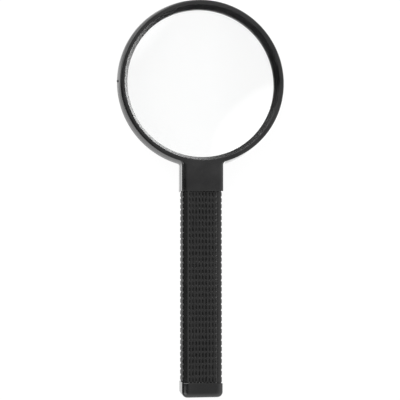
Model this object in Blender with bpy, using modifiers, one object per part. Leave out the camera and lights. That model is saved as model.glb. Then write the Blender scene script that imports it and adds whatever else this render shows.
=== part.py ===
"""Hand lens: a round biconvex lens held between two frame halves on a hollow handle.

Units are metres, +Z is up. The lens lies flat with its axis along +Z, the ring points to +Y and the
handle to -Y. The origin is under the middle of the whole length, on the plane the object lies on.
"""

from math import acos, cos, pi, sin, sqrt

import bmesh
import bpy
from mathutils import Vector

# Driving dimensions.
GAP = 0.0003                  # clearance kept between neighbouring pieces
DEPTH = 0.0170                # full depth of ring, collar and end cap
MID_Z = DEPTH / 2             # height of the lens plane and of the handle's axis

CLEAR_RADIUS = 0.0450         # radius of the opening that shows the lens
RIM_INNER = 0.0471            # inner edge of the flat rim, where the cone starts
RIM_OUTER = 0.0498            # outer edge of the flat rim
RING_RADIUS = 0.0511          # largest outer radius, at the seam between the halves
CONE_DEPTH = 0.0056           # how far the lens opening lies below the rim
SEAM_Z = 0.0095               # underside of the front half, just above the rear half
POCKET_RADIUS = 0.0489        # bore of the rear half that holds the lens
LIP_RADIUS = 0.0496           # outside of the rear half's lip, which enters the front half
LIP_TOP = 0.0110
STRAIGHT_LOW = 0.0074         # the rear half's outer side is straight from here up to the seam
SEAM_STEP = 0.0001            # the front half is this much smaller at the seam
RIM_EDGE = 0.0003             # small bevel on the ring's rims

LENS_RADIUS = 0.0485
LENS_EDGE = 0.0020            # thickness at the lens's edge
LENS_CURVATURE = 0.260        # radius of both faces, for a focal length near 0.25 m
LENS_SEAT_INNER = 0.00195     # from the lens's middle plane to each seat, at the opening
LENS_SEAT_OUTER = 0.00140     # the same at the lens's edge
LENS_RINGS = 6                # steps from the edge to the middle of each face

COLLAR_WIDTH = 0.0252
COLLAR_ROOT = 0.0491          # the collar starts this far from the lens axis, inside the ring
COLLAR_END = 0.0658           # from the lens axis to the collar's lower end
COLLAR_FILLET = 0.0024        # where the collar's sides run into the ring
COLLAR_EDGE = 0.0015          # rounding of the collar's long edges
COLLAR_STEP = 0.00005         # the collar's faces lie this much below the ring's rims

SLEEVE_WIDTH = 0.0238
SLEEVE_DEPTH = 0.0144
SLEEVE_WALL = 0.0016
SLEEVE_CORNER = 0.0024
INNER_CORNER = 0.0004         # smallest corner inside a tube
TUBE_WALL = 0.0018
HANDLE_END = 0.1800           # from the lens axis to the end cap's upper face

CAP_WIDTH = 0.0246
CAP_LENGTH = 0.0089
CAP_CORNER = 0.0030
PLUG_LENGTH = 0.0120          # part of the cap that fits in the tube
PLUG_ROOT = 0.0010            # how far the plug reaches into the cap, to join it

TANG_LENGTH = 0.0220          # part of the frame that fits in the tube
CORE_TOP = 0.0540             # from the lens axis to the upper end of the front half's core
CORE_RISE = 0.0015            # how far the core reaches above the seam, to join the collar

SCREW_RADIUS = 0.00145
SCREW_HEAD_RADIUS = 0.0028
SCREW_HEAD_HEIGHT = 0.0016
SCREW_LENGTH = 0.0076
SCREW_HEAD_LAND = 0.0003      # straight side of the head above its cone
SCREW_POINT_LENGTH = 0.0008
SCREW_POINT_SHARE = 0.6       # radius of the point as a share of the shank's
SLOT_WIDTH = 0.0008
SLOT_LENGTH = 0.0030
SLOT_DEPTH = 0.0010
SCREW_PLACES = {"tang_screw_upper": 0.0070, "tang_screw_lower": 0.0160}

RING_STEPS = 72
SCREW_STEPS = 24
CORNER_SEGMENTS = 4
MERGE = 0.00001               # points closer than this are one point
FLAT_ANGLE = 0.001            # faces that turn less than this are joined, in radians

# Sizes that follow from them.
OVERALL_LENGTH = RING_RADIUS + HANDLE_END + CAP_LENGTH
RING_Y = OVERALL_LENGTH / 2 - RING_RADIUS
COLLAR_END_Y = RING_Y - COLLAR_END
CAP_TOP_Y = RING_Y - HANDLE_END
SLEEVE_LENGTH = HANDLE_END - COLLAR_END - 2 * GAP
SLEEVE_MID_Y = (COLLAR_END_Y + CAP_TOP_Y) / 2
TUBE_WIDTH = SLEEVE_WIDTH - 2 * SLEEVE_WALL - 2 * GAP
TUBE_DEPTH = SLEEVE_DEPTH - 2 * SLEEVE_WALL - 2 * GAP
BORE_WIDTH = TUBE_WIDTH - 2 * TUBE_WALL
BORE_DEPTH = TUBE_DEPTH - 2 * TUBE_WALL
PLUG_WIDTH = BORE_WIDTH - 2 * GAP
PLUG_DEPTH = BORE_DEPTH - 2 * GAP


def remove_scene_objects():
    for obj in list(bpy.data.objects):
        bpy.data.objects.remove(obj, do_unlink=True)


def new_collection(name):
    collection = bpy.data.collections.new(name)
    bpy.context.scene.collection.children.link(collection)
    return collection


def new_material(name, colour, roughness, transmission=0.0):
    material = bpy.data.materials.new(name)
    material.use_nodes = True
    shader = material.node_tree.nodes["Principled BSDF"]
    shader.inputs["Base Color"].default_value = (*colour, 1.0)
    shader.inputs["Roughness"].default_value = roughness
    shader.inputs["Metallic"].default_value = 0.0
    shader.inputs["Transmission Weight"].default_value = transmission
    return material


def new_object(name, mesh, collection, location=(0.0, 0.0, 0.0)):
    obj = bpy.data.objects.new(name, mesh)
    obj.location = location
    collection.objects.link(obj)
    return obj


def as_cutter(obj):
    obj.display_type = "WIRE"
    obj.hide_render = True
    return obj


def box(name, collection, size, centre):
    """A box of the given size, its centre at the given place."""
    mesh = bpy.data.meshes.new(name)
    bm = bmesh.new()
    bmesh.ops.create_cube(bm, size=1.0)
    bmesh.ops.scale(bm, vec=size, verts=bm.verts)
    bm.to_mesh(mesh)
    bm.free()
    return new_object(name, mesh, collection, centre)


def turned(name, collection, profile, steps, location, closed):
    """A solid turned about Z from (radius, height) points that run down its outer side."""
    mesh = bpy.data.meshes.new(name)
    points = [(radius, 0.0, height) for radius, height in profile]
    edges = [(i, i + 1) for i in range(len(points) - 1)]
    if closed:
        edges.append((len(points) - 1, 0))
    mesh.from_pydata(points, edges, [])
    obj = new_object(name, mesh, collection, location)
    screw = obj.modifiers.new("turn", "SCREW")
    screw.axis = "Z"
    screw.angle = 2 * pi
    screw.steps = steps
    screw.render_steps = steps
    screw.use_merge_vertices = True
    screw.merge_threshold = MERGE
    screw.use_smooth_shade = False
    return obj


def prism(name, collection, outlines, thickness, location):
    """A plate of the given thickness from flat outlines in XY, the later ones being holes."""
    curve = bpy.data.curves.new(name, "CURVE")
    curve.dimensions = "2D"
    curve.fill_mode = "BOTH"
    curve.extrude = thickness / 2
    for outline in outlines:
        spline = curve.splines.new("POLY")
        spline.points.add(len(outline) - 1)
        for point, (x, y) in zip(spline.points, outline):
            point.co = (x, y, 0.0, 1.0)
        spline.use_cyclic_u = True
    flat = bpy.data.objects.new(name + "_outline", curve)
    collection.objects.link(flat)
    depsgraph = bpy.context.evaluated_depsgraph_get()
    mesh = bpy.data.meshes.new_from_object(flat.evaluated_get(depsgraph))
    bpy.data.objects.remove(flat, do_unlink=True)
    bm = bmesh.new()
    bm.from_mesh(mesh)
    bmesh.ops.remove_doubles(bm, verts=bm.verts, dist=MERGE)
    if len(outlines) == 1:
        bmesh.ops.dissolve_limit(bm, angle_limit=FLAT_ANGLE, verts=bm.verts, edges=bm.edges)
    bmesh.ops.recalc_face_normals(bm, faces=bm.faces)
    bm.to_mesh(mesh)
    bm.free()
    mesh.materials.clear()
    mesh.name = name
    return new_object(name, mesh, collection, location)


def combine(obj, other, operation):
    """Joins another object to this one, or cuts it out of this one."""
    boolean = obj.modifiers.new(other.name, "BOOLEAN")
    boolean.operation = operation
    boolean.solver = "EXACT"
    boolean.object = other


def arc(centre, radius, start, end, segments):
    """Points of a circular arc, both ends included; angles in radians."""
    points = []
    for i in range(segments + 1):
        angle = start + (end - start) * i / segments
        points.append((centre[0] + radius * cos(angle), centre[1] + radius * sin(angle)))
    return points


def rounded_rectangle(width, height, corner):
    """The outline of a rectangle with round corners, centred on the origin."""
    outline = []
    for quarter, (side_x, side_y) in enumerate(((1, 1), (-1, 1), (-1, -1), (1, -1))):
        centre = (side_x * (width / 2 - corner), side_y * (height / 2 - corner))
        start = quarter * pi / 2
        outline += arc(centre, corner, start, start + pi / 2, CORNER_SEGMENTS)
    return outline


def collar_outline():
    """The collar seen along Z, about the lens axis: an arc in the ring, two fillets and the end."""
    half = COLLAR_WIDTH / 2
    reach = RIM_OUTER
    fillet_x = half + COLLAR_FILLET
    fillet_y = -sqrt((reach + COLLAR_FILLET) ** 2 - fillet_x ** 2)
    spread = acos(fillet_x / (reach + COLLAR_FILLET))
    right = arc((fillet_x, fillet_y), COLLAR_FILLET, pi - spread, pi, CORNER_SEGMENTS)
    right.append((half, -COLLAR_END))
    left = [(-x, y) for x, y in reversed(right)]
    inner = arc((0.0, 0.0), COLLAR_ROOT, pi + spread, 2 * pi - spread, 2 * CORNER_SEGMENTS)
    return right + left + inner


def round_collar_edges(collar, face_z):
    """Rounds the collar's long edges and fillets on the side that faces outwards."""
    half = COLLAR_WIDTH / 2
    mesh = collar.data
    weights = mesh.attributes.new("bevel_weight_edge", "FLOAT", "EDGE")
    for edge in mesh.edges:
        ends = [mesh.vertices[i].co for i in edge.vertices]
        at_face = all(abs(end.z - face_z) < MERGE for end in ends)
        at_side = all(abs(end.x) > half - MERGE for end in ends) and ends[0].x * ends[1].x > 0
        outside = all(Vector((end.x, end.y)).length > COLLAR_ROOT + COLLAR_STEP for end in ends)
        weights.data[edge.index].value = 1.0 if at_face and at_side and outside else 0.0
    bevel = collar.modifiers.new("round", "BEVEL")
    bevel.limit_method = "WEIGHT"
    bevel.width = COLLAR_EDGE
    bevel.segments = CORNER_SEGMENTS
    return collar


def front_ring_profile():
    """Section of the front half: rim, sloping outer side, seam, lip over the lens and cone."""
    return [
        (RIM_OUTER - RIM_EDGE, DEPTH),
        (RIM_OUTER, DEPTH - RIM_EDGE),
        (RING_RADIUS - SEAM_STEP, SEAM_Z),
        (POCKET_RADIUS, SEAM_Z),
        (POCKET_RADIUS - SEAM_STEP, MID_Z + LENS_SEAT_OUTER),
        (CLEAR_RADIUS, MID_Z + LENS_SEAT_INNER),
        (CLEAR_RADIUS, DEPTH - CONE_DEPTH),
        (RIM_INNER, DEPTH - RIM_EDGE),
        (RIM_INNER + RIM_EDGE, DEPTH),
    ]


def front_groove_profile():
    """Section of the groove in the front half that takes the rear half's lip."""
    outer = LIP_RADIUS + GAP
    inner = POCKET_RADIUS - GAP
    top = LIP_TOP + GAP
    bottom = SEAM_Z - GAP
    return [(outer, top), (outer, bottom), (inner, bottom), (inner, top)]


def rear_ring_profile():
    """Section of the rear half: sloping outer side, back rim, cone, lens seat, bore and lip."""
    seam = SEAM_Z - GAP
    return [
        (RING_RADIUS, seam),
        (RING_RADIUS, STRAIGHT_LOW),
        (RIM_OUTER, RIM_EDGE),
        (RIM_OUTER - RIM_EDGE, 0.0),
        (RIM_INNER + RIM_EDGE, 0.0),
        (RIM_INNER, RIM_EDGE),
        (CLEAR_RADIUS, CONE_DEPTH),
        (CLEAR_RADIUS, MID_Z - LENS_SEAT_INNER),
        (POCKET_RADIUS, MID_Z - LENS_SEAT_OUTER),
        (POCKET_RADIUS, LIP_TOP),
        (LIP_RADIUS, LIP_TOP),
        (LIP_RADIUS, seam),
    ]


def lens_profile():
    """Two shallow arcs that meet a narrow cylindrical edge."""
    edge_sag = LENS_CURVATURE - sqrt(LENS_CURVATURE ** 2 - LENS_RADIUS ** 2)
    front = []
    for i in range(LENS_RINGS + 1):
        radius = LENS_RADIUS * i / LENS_RINGS
        sag = LENS_CURVATURE - sqrt(LENS_CURVATURE ** 2 - radius ** 2)
        front.append((radius, LENS_EDGE / 2 + edge_sag - sag))
    back = [(radius, -height) for radius, height in reversed(front)]
    return front + back


def screw_profile(grow):
    """A countersunk screw with its head at the top, grown all over for its clearance hole."""
    head = SCREW_HEAD_RADIUS + grow
    shank = SCREW_RADIUS + grow
    return [
        (0.0, grow),
        (head, grow),
        (head, -SCREW_HEAD_LAND),
        (shank, -SCREW_HEAD_HEIGHT),
        (shank, SCREW_POINT_LENGTH - SCREW_LENGTH),
        (SCREW_POINT_SHARE * shank, -SCREW_LENGTH - grow),
        (0.0, -SCREW_LENGTH - grow),
    ]


def screw_location(down):
    """Head flush with the back of the handle tube, this far below the collar's end."""
    return (0.0, COLLAR_END_Y - down, MID_Z - TUBE_DEPTH / 2)


def make_lens(parts):
    return turned("lens", parts, lens_profile(), RING_STEPS, (0.0, RING_Y, MID_Z), False)


def make_frame_half(name, parts, cutters, profile, low, high):
    """A ring and its part of the collar, which spans the heights low to high."""
    ring = turned(name, parts, profile, RING_STEPS, (0.0, RING_Y, 0.0), True)
    thickness = high - low
    place = (0.0, RING_Y, (low + high) / 2)
    collar = prism(name + "_collar", cutters, [collar_outline()], thickness, place)
    outward = thickness / 2 if low > MID_Z else -thickness / 2
    round_collar_edges(collar, outward)
    combine(ring, as_cutter(collar), "UNION")
    return ring


def tang(name, cutters, low, high, upper_y):
    """The half of the tang between two heights, from upper_y to its tip in the handle tube."""
    tip_y = COLLAR_END_Y - TANG_LENGTH
    size = (PLUG_WIDTH, upper_y - tip_y, high - low)
    centre = (0.0, (upper_y + tip_y) / 2, (low + high) / 2)
    return as_cutter(box(name, cutters, size, centre))


def make_front_frame(parts, cutters):
    low, high = SEAM_Z + COLLAR_STEP, DEPTH - COLLAR_STEP
    frame = make_frame_half("front_frame", parts, cutters, front_ring_profile(), low, high)
    groove = turned("front_frame_groove", cutters, front_groove_profile(), RING_STEPS,
                    (0.0, RING_Y, 0.0), True)
    combine(frame, as_cutter(groove), "DIFFERENCE")
    core_low = MID_Z + GAP / 2
    core_high = SEAM_Z + CORE_RISE
    core_top = RING_Y - CORE_TOP
    core_end = COLLAR_END_Y + COLLAR_STEP
    core_size = (PLUG_WIDTH, core_top - core_end, core_high - core_low)
    core_place = (0.0, (core_top + core_end) / 2, (core_low + core_high) / 2)
    core = as_cutter(box("front_frame_core", cutters, core_size, core_place))
    combine(frame, core, "UNION")
    tongue = tang("front_frame_tang", cutters, core_low, MID_Z + PLUG_DEPTH / 2, core_top - GAP)
    combine(frame, tongue, "UNION")
    return frame


def make_rear_frame(parts, cutters):
    low, high = COLLAR_STEP, SEAM_Z - GAP - COLLAR_STEP
    frame = make_frame_half("rear_frame", parts, cutters, rear_ring_profile(), low, high)
    pocket_floor = MID_Z - GAP / 2
    pocket_top = RING_Y - CORE_TOP + GAP
    pocket_end = COLLAR_END_Y - GAP
    pocket_size = (PLUG_WIDTH + 2 * GAP, pocket_top - pocket_end, high - pocket_floor + GAP)
    pocket_place = (0.0, (pocket_top + pocket_end) / 2, pocket_floor + pocket_size[2] / 2)
    pocket = as_cutter(box("rear_frame_pocket", cutters, pocket_size, pocket_place))
    combine(frame, pocket, "DIFFERENCE")
    tongue = tang("rear_frame_tang", cutters, MID_Z - PLUG_DEPTH / 2, pocket_floor - COLLAR_STEP,
                  COLLAR_END_Y + 2 * GAP)
    combine(frame, tongue, "UNION")
    return frame


def rectangular_tube(name, parts, outer, inner, corner, wall):
    """A tube along Y with the given outer and inner (width, depth), between collar and cap."""
    outlines = [
        rounded_rectangle(outer[0], outer[1], corner),
        rounded_rectangle(inner[0], inner[1], max(corner - wall, INNER_CORNER)),
    ]
    tube = prism(name, parts, outlines, SLEEVE_LENGTH, (0.0, SLEEVE_MID_Y, MID_Z))
    tube.rotation_euler = (pi / 2, 0.0, 0.0)
    return tube


def make_handle_tube(parts):
    outer = (TUBE_WIDTH, TUBE_DEPTH)
    inner = (BORE_WIDTH, BORE_DEPTH)
    corner = SLEEVE_CORNER - SLEEVE_WALL
    return rectangular_tube("handle_tube", parts, outer, inner, corner, TUBE_WALL)


def make_grip_sleeve(parts):
    outer = (SLEEVE_WIDTH, SLEEVE_DEPTH)
    inner = (TUBE_WIDTH + 2 * GAP, TUBE_DEPTH + 2 * GAP)
    return rectangular_tube("grip_sleeve", parts, outer, inner, SLEEVE_CORNER, SLEEVE_WALL)


def make_end_cap(parts, cutters):
    """A block with round edges and a plug; its origin is on the handle's axis at its upper face."""
    cap = box("end_cap", parts, (CAP_WIDTH, CAP_LENGTH, DEPTH), (0.0, CAP_TOP_Y, MID_Z))
    mesh = cap.data
    for vertex in mesh.vertices:
        vertex.co.y -= CAP_LENGTH / 2
    weights = mesh.attributes.new("bevel_weight_edge", "FLOAT", "EDGE")
    for edge in mesh.edges:
        ends = [mesh.vertices[i].co for i in edge.vertices]
        at_upper_face = all(end.y > -MERGE for end in ends)
        weights.data[edge.index].value = 0.0 if at_upper_face else 1.0
    bevel = cap.modifiers.new("round", "BEVEL")
    bevel.limit_method = "WEIGHT"
    bevel.width = CAP_CORNER
    bevel.segments = CORNER_SEGMENTS
    plug_size = (PLUG_WIDTH, PLUG_LENGTH + PLUG_ROOT, PLUG_DEPTH)
    plug_place = (0.0, CAP_TOP_Y + (PLUG_LENGTH - PLUG_ROOT) / 2, MID_Z)
    plug = as_cutter(box("end_cap_plug", cutters, plug_size, plug_place))
    combine(cap, plug, "UNION")
    return cap


def make_screw(name, parts, cutters, down):
    """A countersunk screw with a cross recess, driven from behind the handle."""
    location = screw_location(down)
    screw = turned(name, parts, screw_profile(0.0), SCREW_STEPS, location, False)
    screw.rotation_euler = (pi, 0.0, 0.0)
    arms = (
        (SLOT_WIDTH, SLOT_LENGTH, 2 * SLOT_DEPTH),
        (SLOT_LENGTH, SLOT_WIDTH, 2 * SLOT_DEPTH),
    )
    for turn, size in enumerate(arms):
        slot = as_cutter(box(name + "_slot_" + str(turn), cutters, size, location))
        combine(screw, slot, "DIFFERENCE")
    return screw


def make_screw_hole(name, cutters, down):
    hole = turned(name + "_hole", cutters, screw_profile(GAP), SCREW_STEPS, screw_location(down), False)
    hole.rotation_euler = (pi, 0.0, 0.0)
    return as_cutter(hole)


def add_axis(name, location, collection):
    empty = bpy.data.objects.new(name, None)
    empty.location = location
    empty.empty_display_size = 0.01
    collection.objects.link(empty)
    return empty


def set_parent(obj, parent):
    obj.parent = parent
    obj.matrix_parent_inverse.identity()
    obj.location = obj.location - parent.location


def main():
    remove_scene_objects()
    parts = new_collection("hand_lens")
    cutters = new_collection("cutters")

    lens = make_lens(parts)
    front_frame = make_front_frame(parts, cutters)
    rear_frame = make_rear_frame(parts, cutters)
    handle_tube = make_handle_tube(parts)
    grip_sleeve = make_grip_sleeve(parts)
    end_cap = make_end_cap(parts, cutters)
    screws = []
    for name, down in SCREW_PLACES.items():
        screws.append(make_screw(name, parts, cutters, down))
        hole = make_screw_hole(name, cutters, down)
        for piece in (front_frame, rear_frame, handle_tube):
            combine(piece, hole, "DIFFERENCE")

    gloss_black = new_material("gloss_black_plastic", (0.012, 0.012, 0.013), 0.25)
    matt_black = new_material("matt_black_grip", (0.014, 0.014, 0.015), 0.55)
    inner_black = new_material("inner_black_plastic", (0.02, 0.02, 0.02), 0.45)
    steel = new_material("zinc_plated_steel", (0.6, 0.6, 0.58), 0.35)
    steel.node_tree.nodes["Principled BSDF"].inputs["Metallic"].default_value = 1.0
    glass = new_material("optical_glass", (0.98, 1.0, 0.99), 0.0, transmission=1.0)
    finishes = {
        gloss_black: (front_frame, rear_frame, end_cap),
        matt_black: (grip_sleeve,),
        inner_black: (handle_tube,),
        steel: tuple(screws),
        glass: (lens,),
    }
    for material, pieces in finishes.items():
        for piece in pieces:
            piece.data.materials.append(material)

    lens_axis = add_axis("lens_axis", (0.0, RING_Y, MID_Z), parts)
    handle_axis = add_axis("handle_axis", (0.0, SLEEVE_MID_Y, MID_Z), parts)
    for piece in (lens, front_frame, rear_frame):
        set_parent(piece, lens_axis)
    for piece in (handle_tube, grip_sleeve, end_cap, *screws):
        set_parent(piece, handle_axis)


main()
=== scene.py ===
"""Looks of the hand lens: finished meshes, materials, floor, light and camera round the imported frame.

Metres, +Z up. The lens lies flat with its face up, the ring towards +Y and the handle towards -Y.
"""

from math import atan2, cos, pi, radians, sin, sqrt

import bmesh
import bpy
from mathutils import Matrix, Vector


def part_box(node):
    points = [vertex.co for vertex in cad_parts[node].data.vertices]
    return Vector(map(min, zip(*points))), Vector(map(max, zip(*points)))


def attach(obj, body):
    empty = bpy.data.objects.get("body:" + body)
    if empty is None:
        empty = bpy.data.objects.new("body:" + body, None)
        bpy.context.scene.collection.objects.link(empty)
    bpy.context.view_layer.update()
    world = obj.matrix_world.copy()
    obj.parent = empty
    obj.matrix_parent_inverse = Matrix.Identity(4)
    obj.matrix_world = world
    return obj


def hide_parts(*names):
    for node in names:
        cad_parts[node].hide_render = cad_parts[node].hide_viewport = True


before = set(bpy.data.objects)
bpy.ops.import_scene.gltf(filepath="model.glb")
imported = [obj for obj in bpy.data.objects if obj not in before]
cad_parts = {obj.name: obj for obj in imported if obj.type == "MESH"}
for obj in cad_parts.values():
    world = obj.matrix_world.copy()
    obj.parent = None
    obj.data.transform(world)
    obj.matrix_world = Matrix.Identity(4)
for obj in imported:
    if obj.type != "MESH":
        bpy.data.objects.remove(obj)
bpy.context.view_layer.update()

# Places and sizes read from the frame.
LENS_LOW, LENS_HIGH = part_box("lens")
RING_LOW, RING_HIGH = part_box("rear_frame")
FRONT_LOW, FRONT_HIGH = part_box("front_frame")
SLEEVE_LOW, SLEEVE_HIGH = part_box("grip_sleeve")
TUBE_LOW, TUBE_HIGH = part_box("handle_tube")
CAP_LOW, CAP_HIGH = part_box("end_cap")

GAP = 0.0003                                    # clearance between neighbouring pieces
AXIS_Y = (LENS_LOW.y + LENS_HIGH.y) / 2         # lens axis
MID_Z = (LENS_LOW.z + LENS_HIGH.z) / 2          # middle plane of lens and handle
FACE_Z = FRONT_HIGH.z                           # front rim
BACK_Z = RING_LOW.z                             # back rim
RING_RADIUS = (RING_HIGH.x - RING_LOW.x) / 2
LENS_RADIUS = (LENS_HIGH.x - LENS_LOW.x) / 2
COLLAR_END = AXIS_Y - SLEEVE_HIGH.y - GAP       # from the lens axis to the collar's end
COLLAR_END_Y = AXIS_Y - COLLAR_END
TANG_TIP_Y = FRONT_LOW.y


# ---------------------------------------------------------------- mesh helpers

def link(obj):
    bpy.context.scene.collection.objects.link(obj)
    return obj


def mesh_object(name, bm):
    """Turns a bmesh into a linked object."""
    mesh = bpy.data.meshes.new(name)
    bm.to_mesh(mesh)
    bm.free()
    return link(bpy.data.objects.new(name, mesh))


def smooth(obj, sharp_angle=35.0):
    obj.data.shade_smooth()
    obj.data.set_sharp_from_angle(angle=radians(sharp_angle))
    weighted = obj.modifiers.new("even_normals", "WEIGHTED_NORMAL")
    weighted.keep_sharp = True
    return obj


def loft(name, loops, closed=False):
    """Joins loops of equal length with quads; closed joins the last to the first, else they are capped."""
    count = len(loops[0])
    points = [point for loop in loops for point in loop]
    faces = []
    pairs = len(loops) if closed else len(loops) - 1
    for k in range(pairs):
        a = k * count
        b = (k + 1) % len(loops) * count
        for i in range(count):
            j = (i + 1) % count
            faces.append((a + i, a + j, b + j, b + i))
    if not closed:
        faces.append(tuple(range(count)))
        faces.append(tuple(reversed(range(len(points) - count, len(points)))))
    mesh = bpy.data.meshes.new(name)
    mesh.from_pydata(points, [], faces)
    bm = bmesh.new()
    bm.from_mesh(mesh)
    bmesh.ops.recalc_face_normals(bm, faces=bm.faces)
    bm.to_mesh(mesh)
    bm.free()
    return link(bpy.data.objects.new(name, mesh))


def arc(centre, radius, start, end, segments):
    """Points of a circular arc, both ends included."""
    points = []
    for i in range(segments + 1):
        angle = start + (end - start) * i / segments
        points.append((centre[0] + radius * cos(angle), centre[1] + radius * sin(angle)))
    return points


def line(start, end, segments):
    """Points along a line without its two ends."""
    points = []
    for i in range(1, segments):
        t = i / segments
        points.append((start[0] + (end[0] - start[0]) * t, start[1] + (end[1] - start[1]) * t))
    return points


def blend(a, b, t):
    return a + (b - a) * t


def smoothstep(low, high, x):
    t = min(max((x - low) / (high - low), 0.0), 1.0)
    return t * t * (3 - 2 * t)


def box_object(name, low, high):
    bm = bmesh.new()
    bmesh.ops.create_cube(bm, size=1.0)
    size = Vector(high) - Vector(low)
    centre = (Vector(high) + Vector(low)) / 2
    bmesh.ops.scale(bm, vec=size, verts=bm.verts)
    bmesh.ops.translate(bm, vec=centre, verts=bm.verts)
    return mesh_object(name, bm)


def combine(obj, tool, operation):
    """Applies a Boolean with a throw-away tool object."""
    boolean = obj.modifiers.new("combine", "BOOLEAN")
    boolean.operation = operation
    boolean.solver = "EXACT"
    boolean.object = tool
    depsgraph = bpy.context.evaluated_depsgraph_get()
    mesh = bpy.data.meshes.new_from_object(obj.evaluated_get(depsgraph))
    obj.modifiers.clear()
    obj.data = mesh
    bpy.data.objects.remove(tool, do_unlink=True)


# ---------------------------------------------------------------- ring and collar

# Section of the ring, as radius from the lens axis and height or drop from its face.
RIM_OUTER = 0.0498
RIM_EDGE = 0.00035                              # rounding of the rim's outer edge
RIM_FALL = 0.00018                              # the rim falls this much to its outer edge
RIM_SECTION = (                                 # radius and drop, from outside to inside
    (0.04925, 0.00012), (0.04900, 0.00007), (0.04875, 0.00003), (0.04845, 0.00001), (0.04810, 0.0),
    (0.04760, 0.0), (0.04728, 0.00002), (0.04716, 0.00007), (0.04708, 0.00018),
)
CLEAR_RADIUS = 0.0450                           # lens opening
CONE_DEPTH = 0.0056                             # from the rim's face down to the lens lip
CONE_FOOT = (CLEAR_RADIUS + 0.00015, CONE_DEPTH - 0.0002)
CONE_LIP = (CLEAR_RADIUS, CONE_DEPTH + 0.0001)
SEAM_Z = 0.0095                                 # where the two halves meet outside
FRONT_SEAM_EDGE = 0.0003                        # rounding of each half's outer edge at the seam
REAR_SEAM_EDGE = 0.0007
POCKET_RADIUS = 0.0489                          # the lens sits in this pocket of the rear half
LIP_RADIUS = 0.0496                             # the rear half's lip inside the front half
LIP_TOP = 0.0110
SEAT_INNER = 0.00195                            # the lens seats lie this far from the middle plane
SEAT_OUTER = 0.00140

COLLAR_WIDTH = 0.0252
COLLAR_ROUND = (0.0036, 0.0011)                 # rounding of its long edges, across and deep
COLLAR_FILLET = 0.0024                          # between collar and ring
COLLAR_CORNER = 0.0003                          # its two end corners seen from the front
COLLAR_DRAFT = 0.0001                           # the collar narrows this much to its faces
COLLAR_STEP = 0.00010                           # the collar's face lies this far below the rim
END_EDGE = 0.0003                               # rounding of the collar's end
STEP_IN = 0.00004                               # foot of that step, inside the rim's edge
STEP_OUT = 0.0001                               # and outside it on the collar
STEP_RISE = 0.00001

TANG_WIDTH = 0.0158
TANG_DEPTH = 0.0064
TANG_ROOT = 0.003                               # the tang reaches this far into the collar
CORE_TOP = 0.0540                               # top of the collar's solid core from the lens axis
CORE_RISE = 0.0015                              # the core reaches this far above the seam
SCREW_HOLE_RADIUS = 0.00175
OVERCUT = 0.001
GATE_RADIUS = 0.0008                            # the nub that the mould's gate left on the left side
GATE_INSET = 0.0004
GATE_Z = 0.0116

RING_POINTS = 240
FILLET_POINTS = 12
SIDE_POINTS = 10
CORNER_POINTS = 4
END_POINTS = 20
ROUND_STEPS = 8
WALL_STEPS = 6
SEAM_STEPS = 4
CONE_STEPS = 8


def frame_outline(ring_radius, half_width, end, fillet):
    """Ring and collar seen along Z, about the lens axis, always with the same count of points."""
    corner = COLLAR_CORNER
    fillet_x = half_width + fillet
    fillet_y = -sqrt((ring_radius + fillet) ** 2 - fillet_x ** 2)
    spread = atan2(-fillet_y, fillet_x)
    ring = arc((0, 0), ring_radius, -spread, pi + spread, RING_POINTS)
    left_fillet = arc((-fillet_x, fillet_y), fillet, spread, 0.0, FILLET_POINTS)[1:]
    left_corner = arc((-half_width + corner, corner - end), corner, pi, 1.5 * pi, CORNER_POINTS)
    right_corner = arc((half_width - corner, corner - end), corner, 1.5 * pi, 2 * pi, CORNER_POINTS)
    right_fillet = arc((fillet_x, fillet_y), fillet, pi, pi - spread, FILLET_POINTS)[:-1]
    outline = ring + left_fillet
    outline += line(left_fillet[-1], left_corner[0], SIDE_POINTS) + left_corner
    outline += line(left_corner[-1], right_corner[0], END_POINTS) + right_corner
    outline += line(right_corner[-1], right_fillet[0], SIDE_POINTS) + right_fillet
    return outline


def collar_share():
    """For each outline point, 0 on the ring and 1 on the collar, with a ramp along the fillets."""
    slope = [smoothstep(0, FILLET_POINTS, i) for i in range(1, FILLET_POINTS + 1)]
    middle = 2 * (SIDE_POINTS - 1) + 2 * (CORNER_POINTS + 1) + END_POINTS - 1
    return [0.0] * (RING_POINTS + 1) + slope + [1.0] * middle + slope[::-1]


def place(x, y, z):
    """A point given about the lens axis."""
    return (x, y + AXIS_Y, z)


def face_rounding(face_z, inward, share):
    """Loops from the rounded edge of the face out to the top of the side wall."""
    loops = []
    for step in range(ROUND_STEPS + 1):
        turn = 0.5 * pi * step / ROUND_STEPS
        side_in = COLLAR_ROUND[0] * (1 - sin(turn))
        side_drop = COLLAR_ROUND[1] * (1 - cos(turn))
        left_over = max(END_EDGE - side_drop, 0.0)
        end_in = END_EDGE - sqrt(END_EDGE ** 2 - left_over ** 2)
        outline = frame_outline(
            RIM_OUTER - RIM_EDGE * (1 - sin(turn)),
            COLLAR_WIDTH / 2 - COLLAR_DRAFT - side_in,
            COLLAR_END - end_in,
            COLLAR_FILLET + 0.5 * side_in,
        )
        loop = []
        for (x, y), part in zip(outline, share):
            drop = blend(RIM_EDGE * (1 - cos(turn)) + RIM_FALL, side_drop + COLLAR_STEP, part)
            loop.append(place(x, y, face_z + inward * drop))
        loops.append(loop)
    return loops


def side_wall(start, end_z):
    """Loops down the slightly bulging side wall, from the last loop of the rounding."""
    loops = []
    for step in range(1, WALL_STEPS + 1):
        t = step / WALL_STEPS
        bulge = sin(0.5 * pi * t)
        outline = frame_outline(
            blend(RIM_OUTER, RING_RADIUS, blend(t, bulge, 0.5)),
            COLLAR_WIDTH / 2 - COLLAR_DRAFT * (1 - t),
            COLLAR_END,
            COLLAR_FILLET,
        )
        loops.append([place(x, y, blend(p[2], end_z, t)) for (x, y), p in zip(outline, start)])
    return loops


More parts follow.
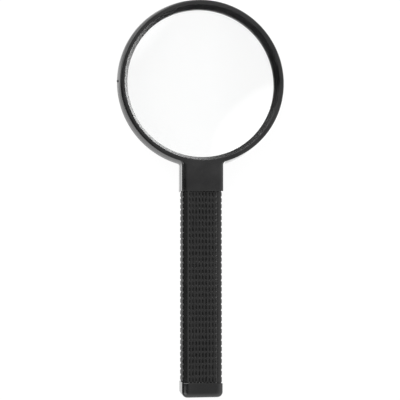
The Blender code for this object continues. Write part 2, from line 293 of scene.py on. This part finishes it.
def seam_rounding(end_z, inward, seam_edge):
    """Loops round the wall's edge into the seam."""
    loops = []
    for step in range(1, SEAM_STEPS + 1):
        turn = 0.5 * pi * step / SEAM_STEPS
        inset = seam_edge * (1 - cos(turn))
        height = end_z + inward * seam_edge * sin(turn)
        outline = frame_outline(
            RING_RADIUS - inset, COLLAR_WIDTH / 2 - inset, COLLAR_END, COLLAR_FILLET + inset
        )
        loops.append([place(x, y, height) for x, y in outline])
    return loops


def frame_half(name, face_z, seam_z, seam_edge, inner_section):
    """One half of the frame: rounded outer side, seam, the given inner section, cone and rim."""
    inward = -1 if face_z > seam_z else 1
    share = collar_share()
    end_z = seam_z - inward * seam_edge
    loops = face_rounding(face_z, inward, share)
    loops += side_wall(loops[-1], end_z)
    loops += seam_rounding(end_z, inward, seam_edge)

    angles = [atan2(p[1] - AXIS_Y, p[0]) for p in loops[0]]
    cone = []
    for i in range(1, CONE_STEPS):
        t = i / CONE_STEPS
        cone.append(tuple(blend(a, b, t) for a, b in zip(RIM_SECTION[-1], CONE_FOOT)))
    cone += [CONE_FOOT, CONE_LIP]
    rings = list(inner_section)
    rings += [(radius, face_z + inward * drop) for radius, drop in reversed(list(RIM_SECTION) + cone)]
    for radius, height in rings:
        loops.append([place(radius * cos(a), radius * sin(a), height) for a in angles])

    step_loop = []
    for angle, part in zip(angles, share):
        radius = blend(RIM_OUTER - RIM_EDGE - STEP_IN, RIM_OUTER + STEP_OUT, part)
        drop = blend(RIM_FALL - STEP_RISE, COLLAR_STEP, part)
        step_loop.append(place(radius * cos(angle), radius * sin(angle), face_z + inward * drop))
    loops.append(step_loop)
    return loft(name, loops, closed=True)


def screw_holes(obj, top):
    """Cuts the two screw clearance holes from behind up to a height."""
    for node in ("tang_screw_upper", "tang_screw_lower"):
        low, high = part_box(node)
        centre = (low + high) / 2
        bottom = low.z - OVERCUT / 2
        bm = bmesh.new()
        bmesh.ops.create_cone(
            bm,
            cap_ends=True,
            segments=32,
            radius1=SCREW_HOLE_RADIUS,
            radius2=SCREW_HOLE_RADIUS,
            depth=top - bottom,
        )
        bmesh.ops.translate(bm, vec=(centre.x, centre.y, (top + bottom) / 2), verts=bm.verts)
        combine(obj, mesh_object("hole", bm), "DIFFERENCE")


def make_front_frame():
    section = [
        (LIP_RADIUS + GAP, SEAM_Z),
        (LIP_RADIUS + GAP, LIP_TOP + GAP),
        (POCKET_RADIUS - GAP, LIP_TOP + GAP),
        (POCKET_RADIUS - GAP, MID_Z + SEAT_OUTER),
        (CLEAR_RADIUS, MID_Z + SEAT_INNER),
    ]
    obj = frame_half("front_frame_shell", FACE_Z, SEAM_Z, FRONT_SEAM_EDGE, section)
    half = TANG_WIDTH / 2
    low_z = MID_Z + GAP / 2
    core = box_object(
        "core",
        (-half, COLLAR_END_Y + 0.0001, low_z),
        (half, AXIS_Y - CORE_TOP, SEAM_Z + CORE_RISE),
    )
    combine(obj, core, "UNION")
    tang = box_object(
        "tang",
        (-half, TANG_TIP_Y, low_z),
        (half, COLLAR_END_Y + TANG_ROOT, MID_Z + TANG_DEPTH / 2),
    )
    combine(obj, tang, "UNION")
    screw_holes(obj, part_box("tang_screw_upper")[1].z + GAP)
    bm = bmesh.new()
    bmesh.ops.create_uvsphere(bm, u_segments=20, v_segments=12, radius=GATE_RADIUS)
    bmesh.ops.translate(bm, vec=(GATE_INSET - RING_RADIUS, AXIS_Y, GATE_Z), verts=bm.verts)
    combine(obj, mesh_object("gate", bm), "UNION")
    return smooth(obj)


def make_rear_frame():
    seam = SEAM_Z - GAP
    section = [
        (LIP_RADIUS, seam),
        (LIP_RADIUS, LIP_TOP),
        (POCKET_RADIUS, LIP_TOP),
        (POCKET_RADIUS, MID_Z - SEAT_OUTER),
        (CLEAR_RADIUS, MID_Z - SEAT_INNER),
    ]
    obj = frame_half("rear_frame_shell", BACK_Z, seam, REAR_SEAM_EDGE, section)
    half = TANG_WIDTH / 2
    floor_z = MID_Z - GAP / 2
    pocket = box_object(
        "pocket",
        (-half - GAP, COLLAR_END_Y - OVERCUT, floor_z),
        (half + GAP, AXIS_Y - CORE_TOP + GAP, SEAM_Z + OVERCUT),
    )
    combine(obj, pocket, "DIFFERENCE")
    tang = box_object(
        "tang",
        (-half, TANG_TIP_Y, MID_Z - TANG_DEPTH / 2),
        (half, COLLAR_END_Y + TANG_ROOT, floor_z - 0.00005),
    )
    combine(obj, tang, "UNION")
    screw_holes(obj, MID_Z + OVERCUT)
    return smooth(obj)


# ---------------------------------------------------------------- lens

LENS_EDGE = 0.0020                              # thickness at the rim
LENS_BEVEL = 0.0002
LENS_RINGS = 40
LENS_POINTS = 256


def make_lens():
    """Two polished spherical faces with a narrow ground edge."""
    sag = (LENS_HIGH.z - LENS_LOW.z - LENS_EDGE) / 2
    curvature = (LENS_RADIUS ** 2 + sag ** 2) / (2 * sag)
    upper = []
    for i in range(LENS_RINGS + 1):
        radius = LENS_RADIUS * (0.004 + 0.992 * (i / LENS_RINGS))
        upper.append((radius, LENS_EDGE / 2 + sag - (curvature - sqrt(curvature ** 2 - radius ** 2))))
    upper.append((LENS_RADIUS, upper[-1][1] - LENS_BEVEL))
    profile = upper + [(radius, -height) for radius, height in reversed(upper)]
    loops = []
    for radius, height in profile:
        circle = arc((0, 0), radius, 0.0, 2 * pi, LENS_POINTS)[:-1]
        loops.append([place(x, y, MID_Z + height) for x, y in circle])
    return smooth(loft("lens_glass", loops), 60.0)


# ---------------------------------------------------------------- grip

GRIP_ROUND = (0.0038, 0.0017)                   # rounding of the grip's corners, across and deep
GRIP_REACH = 0.00025                            # the soft sleeve squeezes into the gaps at its ends
BORE_CORNER = (0.0008, 0.0008)
SLANT = 0.0006                                  # the joint between grip and cap runs this much askew

ROWS = 32
COLUMN_PITCH = 0.0020
RELIEF = 0.00075                                # depth of the relief
RELIEF_REACH = 0.0092                           # the ribs reach this far to each side of the middle
SLOT_EDGE = (0.11, 0.24)                        # a rib rises over this share of a column from a slot
DIP_EDGE = (0.05, 0.16)                         # and dips over this share of a row
DIP_LEVEL = (0.46, 0.38)                        # height in a dip at a slot, and how much a rib adds
PLAIN_LEVEL = 0.97                              # height of the plain border
CELL_SPREAD = 0.02                              # unevenness of the slots and dips
NOTCH_EDGE = (0.06, 0.20)                       # the same for the notches in the narrow sides
NOTCH_LEVEL = 0.15

STEPS_PER_ROW = 10
FACE_SEGMENTS = 96
SIDE_SEGMENTS = 20
CORNER_SEGMENTS = 9


def rounded_rectangle(width, height, corner, flat_x, flat_y, bend):
    """Points and outward normals of a rectangle with elliptical corners, from its right side round."""
    points = []
    quarter = ((1, 1), (-1, 1), (-1, -1), (1, -1))
    inner_x = width / 2 - corner[0]
    inner_y = height / 2 - corner[1]
    for k, (side_x, side_y) in enumerate(quarter):
        centre = (side_x * inner_x, side_y * inner_y)
        start = 0.5 * pi * k
        for i in range(bend + 1):
            angle = start + 0.5 * pi * i / bend
            normal = Vector((cos(angle) / corner[0], sin(angle) / corner[1])).normalized()
            end = (centre[0] + corner[0] * cos(angle), centre[1] + corner[1] * sin(angle))
            points.append((*end, *normal))
        next_x, next_y = quarter[(k + 1) % 4]
        shift = ((next_x - side_x) * inner_x, (next_y - side_y) * inner_y)
        segments = flat_x if k % 2 == 0 else flat_y
        for i in range(1, segments):
            t = i / segments
            points.append((end[0] + shift[0] * t, end[1] + shift[1] * t, *normal))
    return points


def unevenness(a, b):
    """A repeatable value from -1 to 1 for each cell of the relief."""
    return sin(12.9898 * a + 78.233 * b + 0.7 * sin(3.1 * a * b))


def weave(across, along):
    """Height from 0 to 1 of the basket relief: long ribs with slots between, dipping at each row."""
    column = across / COLUMN_PITCH
    row = along * ROWS
    apart = abs(column - round(column))
    phase = abs(row - round(row))
    uneven = CELL_SPREAD * unevenness(round(column), round(row + 0.5))
    rib = smoothstep(SLOT_EDGE[0] + uneven, SLOT_EDGE[1], apart)
    dip = DIP_LEVEL[0] + DIP_LEVEL[1] * rib
    dipping = 1 - smoothstep(DIP_EDGE[0], DIP_EDGE[1] + uneven, phase)
    border = smoothstep(RELIEF_REACH - 0.0004, RELIEF_REACH, abs(across))
    return blend(blend(rib, dip, dipping), PLAIN_LEVEL, border)


def side_relief(along):
    """Height from 0 to 1 on the narrow sides: one broad ridge to each row."""
    row = along * ROWS
    phase = abs(row - round(row))
    return blend(1.0, NOTCH_LEVEL, 1 - smoothstep(*NOTCH_EDGE, phase))


def make_grip():
    width = SLEEVE_HIGH.x - SLEEVE_LOW.x
    depth = SLEEVE_HIGH.z - SLEEVE_LOW.z
    top, bottom = SLEEVE_HIGH.y + GRIP_REACH, SLEEVE_LOW.y - GRIP_REACH
    base = rounded_rectangle(width, depth, GRIP_ROUND, FACE_SEGMENTS, SIDE_SEGMENTS, CORNER_SEGMENTS)
    loops = []
    total = ROWS * STEPS_PER_ROW
    for k in range(total + 1):
        along = k / total
        y = blend(top, bottom, along)
        lean = SLANT * smoothstep(0.96, 1.0, along)
        loop = []
        for x, z, nx, nz in base:
            upright = smoothstep(0.30, 0.90, abs(nz))
            level = blend(side_relief(along), weave(x, along), upright)
            inset = RELIEF * (1 - level)
            loop.append((x - nx * inset, y - lean * (0.5 + x / width), MID_Z + z - nz * inset))
        loops.append(loop)
    bore = rounded_rectangle(
        TUBE_HIGH.x - TUBE_LOW.x + 2 * GAP,
        TUBE_HIGH.z - TUBE_LOW.z + 2 * GAP,
        BORE_CORNER,
        FACE_SEGMENTS,
        SIDE_SEGMENTS,
        CORNER_SEGMENTS,
    )
    for y in (bottom, top):
        loops.append([(x, y, MID_Z + z) for x, z, _, _ in bore])
    return smooth(loft("grip_relief", loops, closed=True), 70.0)


# ---------------------------------------------------------------- end cap

CAP_LENGTH = 0.0089
CAP_TOP_Y = CAP_LOW.y + CAP_LENGTH
CAP_ROUND = (0.0045, 0.0024)                    # rounding of the cap's long edges, across and deep
CAP_CORNER = 0.0033                             # its corners seen from the front
CAP_CORNER_STEPS = 12
CAP_MOUTH = (                                   # inset, distance from the mouth and ripple of its edge
    (0.0006, 0.0, 0.0001),
    (0.0002, 0.0, 0.0001),
    (0.0, 0.0004, 0.00004),
)
CAP_SEGMENTS = (24, 16, 10)                     # along a wide side, a narrow side and a corner
PLUG_CORNER = (0.0006, 0.0006)
PLUG_TAPER = 0.0012                             # the plug's tip is this much smaller
PLUG_TIP = 0.0008


def cap_loop(width, depth, corner, y, slant=0.0, ripple=0.0):
    """A rounded rectangle across the handle; slant tips it and ripple makes it uneven along X."""
    loop = []
    for x, z, _, _ in rounded_rectangle(width, depth, corner, *CAP_SEGMENTS):
        wave = ripple * (sin(1450 * x + 0.6) * sin(410 * x) - 0.3)
        loop.append((x, y - slant * (0.5 + x / width) + wave, MID_Z + z))
    return loop


def make_end_cap():
    width = CAP_HIGH.x - CAP_LOW.x
    depth = CAP_HIGH.z - CAP_LOW.z
    plug_top = CAP_HIGH.y
    across, deep = CAP_ROUND
    loops = [
        cap_loop(TANG_WIDTH - PLUG_TAPER, TANG_DEPTH - PLUG_TAPER, PLUG_CORNER, plug_top),
        cap_loop(TANG_WIDTH, TANG_DEPTH, PLUG_CORNER, plug_top - PLUG_TIP),
        cap_loop(TANG_WIDTH, TANG_DEPTH, PLUG_CORNER, CAP_TOP_Y),
    ]
    for inset, down, ripple in CAP_MOUTH:
        corner = (across - inset, deep - inset)
        y = CAP_TOP_Y - down
        loops.append(cap_loop(width - 2 * inset, depth - 2 * inset, corner, y, SLANT, ripple))
    for i in range(1, 4):
        y = blend(CAP_TOP_Y - 0.0010, CAP_LOW.y + CAP_CORNER, i / 4)
        loops.append(cap_loop(width, depth, CAP_ROUND, y))
    for i in range(CAP_CORNER_STEPS + 1):
        turn = 0.5 * pi * i / CAP_CORNER_STEPS
        inset_x = 0.98 * CAP_CORNER * (1 - cos(turn))
        inset_z = 0.98 * deep * (1 - cos(turn))
        y = CAP_LOW.y + CAP_CORNER * (1 - sin(turn))
        corner = (across - inset_x, deep - inset_z)
        loops.append(cap_loop(width - 2 * inset_x, depth - 2 * inset_z, corner, y))
    return smooth(loft("end_cap_shell", loops))


# ---------------------------------------------------------------- node helpers

def new_material(name):
    material = bpy.data.materials.new(name)
    material.use_nodes = True
    return material, material.node_tree, material.node_tree.nodes["Principled BSDF"]


def noise(tree, scale, detail=4.0, rough=0.55, stretch=(1.0, 1.0, 1.0)):
    """Noise in the object's own metres."""
    coordinates = tree.nodes.new("ShaderNodeTexCoord")
    mapping = tree.nodes.new("ShaderNodeMapping")
    mapping.inputs["Scale"].default_value = stretch
    texture = tree.nodes.new("ShaderNodeTexNoise")
    texture.inputs["Scale"].default_value = scale
    texture.inputs["Detail"].default_value = detail
    texture.inputs["Roughness"].default_value = rough
    tree.links.new(coordinates.outputs["Object"], mapping.inputs["Vector"])
    tree.links.new(mapping.outputs["Vector"], texture.inputs["Vector"])
    return texture.outputs["Fac"]


def ramp(tree, source, low, high, start, end):
    """Maps a value onto a range, clamped."""
    node = tree.nodes.new("ShaderNodeMapRange")
    node.inputs["From Min"].default_value = low
    node.inputs["From Max"].default_value = high
    node.inputs["To Min"].default_value = start
    node.inputs["To Max"].default_value = end
    tree.links.new(source, node.inputs["Value"])
    return node.outputs["Result"]


def join(tree, operation, first, second):
    """A sum, product or other maths node of two values."""
    node = tree.nodes.new("ShaderNodeMath")
    node.operation = operation
    tree.links.new(first, node.inputs[0])
    tree.links.new(second, node.inputs[1])
    return node.outputs["Value"]


def colour_mix(tree, factor, first, second):
    node = tree.nodes.new("ShaderNodeMix")
    node.data_type = "RGBA"
    node.inputs["A"].default_value = (*first, 1.0)
    node.inputs["B"].default_value = (*second, 1.0)
    tree.links.new(factor, node.inputs["Factor"])
    return node.outputs["Result"]


def bump(tree, shader, height, strength, distance):
    node = tree.nodes.new("ShaderNodeBump")
    node.inputs["Strength"].default_value = strength
    node.inputs["Distance"].default_value = distance
    tree.links.new(height, node.inputs["Height"])
    tree.links.new(node.outputs["Normal"], shader.inputs["Normal"])


def let_through(tree, shader, factor, colour=(1.0, 1.0, 1.0)):
    """Swaps the shader for a clear one by a factor."""
    clear = tree.nodes.new("ShaderNodeBsdfTransparent")
    clear.inputs["Color"].default_value = (*colour, 1.0)
    mix = tree.nodes.new("ShaderNodeMixShader")
    tree.links.new(factor, mix.inputs["Fac"])
    tree.links.new(shader.outputs["BSDF"], mix.inputs[1])
    tree.links.new(clear.outputs["BSDF"], mix.inputs[2])
    tree.links.new(mix.outputs["Shader"], tree.nodes["Material Output"].inputs["Surface"])


# ---------------------------------------------------------------- materials

def gloss_black(name, roughness, sink):
    """Moulded black plastic: glossy, clouded, with fine marks and broad sink marks this deep."""
    material, tree, shader = new_material(name)
    cloud = ramp(tree, noise(tree, 75.0, 3.0), 0.35, 0.65, 0.0, 1.0)
    marks = noise(tree, 700.0, 3.0, 0.6, (1.0, 0.15, 1.0))
    tone = colour_mix(tree, cloud, (0.0006, 0.0006, 0.0008), (0.0080, 0.0080, 0.0082))
    tree.links.new(tone, shader.inputs["Base Color"])
    rough = ramp(tree, marks, 0.35, 0.75, roughness, roughness + 0.10)
    tree.links.new(rough, shader.inputs["Roughness"])
    shader.inputs["IOR"].default_value = 1.53
    bump(tree, shader, noise(tree, 75.0, 1.5), 1.0, sink)
    return material


def matt_black(name):
    """The grip: satin black with a leathery grain and worn high spots, duller and dusty on its left."""
    material, tree, shader = new_material(name)
    wear = noise(tree, 60.0, 6.0, 0.6)
    grain = noise(tree, 3500.0, 3.0, 0.6)
    tone = colour_mix(tree, wear, (0.0016, 0.0016, 0.0017), (0.0060, 0.0059, 0.0058))
    tree.links.new(tone, shader.inputs["Base Color"])
    shader.inputs["IOR"].default_value = 1.45
    coordinates = tree.nodes.new("ShaderNodeTexCoord")
    split = tree.nodes.new("ShaderNodeSeparateXYZ")
    tree.links.new(coordinates.outputs["Object"], split.inputs["Vector"])
    across = split.outputs["X"]
    tree.links.new(ramp(tree, across, -0.0106, -0.0084, 0.16, 0.50), shader.inputs["Specular IOR Level"])
    dusty = ramp(tree, across, -0.0115, -0.0108, 0.18, 0.0)
    rough = join(tree, "ADD", ramp(tree, wear, 0.3, 0.7, 0.27, 0.37), dusty)
    tree.links.new(rough, shader.inputs["Roughness"])
    bump(tree, shader, grain, 0.5, 0.00003)
    return material


def inner_black(name):
    """The tube inside the grip: plain moulded black."""
    material, tree, shader = new_material(name)
    tone = colour_mix(tree, noise(tree, 300.0), (0.012, 0.012, 0.012), (0.022, 0.022, 0.022))
    tree.links.new(tone, shader.inputs["Base Color"])
    tree.links.new(ramp(tree, noise(tree, 800.0), 0.3, 0.7, 0.38, 0.52), shader.inputs["Roughness"])
    return material


def zinc_steel(name):
    """Zinc-plated screw steel, a little blotchy and brushed."""
    material, tree, shader = new_material(name)
    tone = colour_mix(tree, noise(tree, 900.0), (0.50, 0.50, 0.47), (0.68, 0.68, 0.66))
    tree.links.new(tone, shader.inputs["Base Color"])
    shader.inputs["Metallic"].default_value = 1.0
    tree.links.new(ramp(tree, noise(tree, 2500.0), 0.3, 0.7, 0.25, 0.42), shader.inputs["Roughness"])
    return material


def clear_glass(name):
    """Optical glass that lamps and soft light pass through, with the faintest surface film."""
    material, tree, shader = new_material(name)
    film = noise(tree, 45.0, 4.0)
    tone = colour_mix(tree, film, (0.965, 0.970, 0.970), (0.985, 0.988, 0.986))
    tree.links.new(tone, shader.inputs["Base Color"])
    tree.links.new(ramp(tree, film, 0.4, 0.8, 0.0, 0.012), shader.inputs["Roughness"])
    shader.inputs["IOR"].default_value = 1.52
    shader.inputs["Transmission Weight"].default_value = 1.0
    path = tree.nodes.new("ShaderNodeLightPath")
    unseen = join(tree, "MAXIMUM", path.outputs["Is Shadow Ray"], path.outputs["Is Diffuse Ray"])
    let_through(tree, shader, unseen, (0.95, 0.955, 0.955))
    return material


def paint(obj, material):
    obj.data.materials.clear()
    obj.data.materials.append(material)


def paint_node(name, material):
    for material_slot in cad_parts[name].material_slots:
        material_slot.material = material


def dress():
    """Makes every finished piece, hangs it on the body it rides on, hides the frame node it stands for,
    and gives it its material.
    """
    gloss = gloss_black("frame_gloss_black", 0.15, 0.00010)
    cap_gloss = gloss_black("cap_gloss_black", 0.14, 0.00008)
    pieces = (
        (make_lens(), "magnifier", "lens", "optical_glass", clear_glass("lens_clear_glass")),
        (make_front_frame(), "magnifier", "front_frame", "gloss_black_plastic", gloss),
        (make_rear_frame(), "magnifier", "rear_frame", "gloss_black_plastic", gloss),
        (make_grip(), "magnifier", "grip_sleeve", "matt_black_grip", matt_black("grip_matt_black")),
        (make_end_cap(), "end_cap", "end_cap", "gloss_black_plastic", cap_gloss),
    )
    for obj, body, node, slot, material in pieces:
        paint(obj, material)
        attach(obj, body)
        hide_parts(node)
    paint_node("handle_tube", inner_black("tube_inner_black"))
    steel = zinc_steel("screw_zinc_steel")
    paint_node("tang_screw_upper", steel)
    paint_node("tang_screw_lower", steel)


# ---------------------------------------------------------------- stage

FLOOR_GLOW = 0.95                               # the table is a softly lit white panel


def make_floor():
    """A pale table, seen from above only; gloss mirrors the studio dome in its place."""
    bm = bmesh.new()
    bmesh.ops.create_grid(bm, x_segments=8, y_segments=8, size=3.0)
    floor = mesh_object("floor", bm)
    floor.location.z = -0.0001
    material, tree, shader = new_material("floor_white")
    tone = colour_mix(tree, noise(tree, 4.0), (0.055, 0.055, 0.055), (0.065, 0.065, 0.065))
    tree.links.new(tone, shader.inputs["Base Color"])
    shader.inputs["Roughness"].default_value = 0.9
    shader.inputs["Specular IOR Level"].default_value = 0.0
    shader.inputs["Emission Color"].default_value = (1.0, 1.0, 1.0, 1.0)
    shader.inputs["Emission Strength"].default_value = FLOOR_GLOW
    geometry = tree.nodes.new("ShaderNodeNewGeometry")
    path = tree.nodes.new("ShaderNodeLightPath")
    unseen = join(tree, "MAXIMUM", geometry.outputs["Backfacing"], path.outputs["Glossy Depth"])
    unseen.node.use_clamp = True
    let_through(tree, shader, unseen)
    paint(floor, material)


# Direction, outer and inner half width in degrees, and strength of the soft lamps.
SOFT_LAMPS = (
    ((-0.50, 0.62, 0.60), 34.0, 20.0, 4.5),
    ((-0.60, -0.44, 0.67), 24.0, 14.0, 2.4),
    ((0.62, 0.15, -0.77), 40.0, 20.0, 1.0),
    ((0.50, -0.40, -0.77), 26.0, 12.0, 1.0),
)
# Direction of the dark parts of the dome, how far along it each begins and is complete, and what is left.
DARK_PARTS = (
    ((-0.80, 0, 0.60), 0.55, 0.76, 0.04),
    ((-0.90, 0, -0.43), 0.84, 0.93, 0.06),
    ((-0.30, 0.68, -0.67), 0.86, 0.95, 0.20),
)


def along_axis(tree, direction, axis):
    """How far a direction points along an axis, from -1 to 1."""
    product = tree.nodes.new("ShaderNodeVectorMath")
    product.operation = "DOT_PRODUCT"
    product.inputs[1].default_value = Vector(axis).normalized()
    tree.links.new(direction, product.inputs[0])
    return product.outputs["Value"]


def make_world():
    """A studio dome: dim overhead, dark parts on the left, soft lamps, and even light all round."""
    world = bpy.data.worlds.new("studio")
    bpy.context.scene.world = world
    world.use_nodes = True
    tree = world.node_tree
    background = tree.nodes["Background"]
    background.inputs["Color"].default_value = (1.0, 1.0, 1.0, 1.0)
    direction = tree.nodes.new("ShaderNodeTexCoord").outputs["Generated"]
    height = along_axis(tree, direction, (0, 0, 1))
    light = ramp(tree, height, 0.95, 0.60, 0.70, 1.50)
    light = join(tree, "MULTIPLY", light, ramp(tree, height, -0.30, 0.0, 0.82, 1.0))
    for axis, start, full, left in DARK_PARTS:
        shade = ramp(tree, along_axis(tree, direction, axis), start, full, 1.0, left)
        light = join(tree, "MULTIPLY", light, shade)
    for axis, outer, inner, strength in SOFT_LAMPS:
        towards = along_axis(tree, direction, axis)
        lamp = ramp(tree, towards, cos(radians(outer)), cos(radians(inner)), 0.0, strength)
        light = join(tree, "ADD", light, lamp)
    tree.links.new(light, background.inputs["Strength"])


CAMERA_TARGET = Vector((-0.0015, -0.0023, 0.0150))
CAMERA_DISTANCE = 0.676
CAMERA_ASIDE = radians(8.3)                     # to the left of the lens axis
CAMERA_DOWN = radians(2.7)                      # towards the handle
CAMERA_LENS = 101.4                             # focal length in mm on a 36 mm sensor


def make_camera():
    """Over the object, a little to its left and towards the handle, with the ring at the top."""
    data = bpy.data.cameras.new("camera")
    camera = link(bpy.data.objects.new("camera", data))
    back = Vector((
        -sin(CAMERA_ASIDE) * cos(CAMERA_DOWN),
        -sin(CAMERA_DOWN),
        cos(CAMERA_ASIDE) * cos(CAMERA_DOWN),
    ))
    right = Vector((0.0, 1.0, 0.0)).cross(back).normalized()
    up = back.cross(right)
    turn = Matrix((right, up, back)).transposed().to_4x4()
    camera.matrix_world = Matrix.Translation(CAMERA_TARGET + back * CAMERA_DISTANCE) @ turn
    data.sensor_width = 36.0
    data.lens = CAMERA_LENS
    data.clip_start = 0.01
    data.clip_end = 50.0
    bpy.context.scene.camera = camera


dress()
make_floor()
make_world()
make_camera()
bpy.context.scene.view_settings.view_transform = "Standard"
